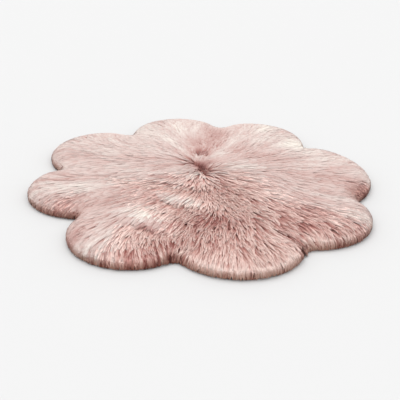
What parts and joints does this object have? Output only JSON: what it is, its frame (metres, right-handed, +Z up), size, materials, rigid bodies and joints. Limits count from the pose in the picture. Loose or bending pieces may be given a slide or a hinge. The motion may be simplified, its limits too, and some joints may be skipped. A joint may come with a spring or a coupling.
{
  "type": "flower-shaped shag rug",
  "caption": "Flat flower-shaped floor rug of long-pile fur cloth with round petals, combed outwards from the middle, lying on a surface.",
  "frame": {"origin": "on the flat underside, below the middle of the rug's box", "axes": "+Z up out of the pile; +Y away from the viewer of the reference view, +X to its right"},
  "size_m": [1.149, 1.1784, 0.0479],
  "materials": {
    "pile": "dusty pink long acrylic pile, soft and matt with pale tips"
  },
  "bodies": {
    "root": {"fur_rug": "pile"}
  },
  "joints": []
}
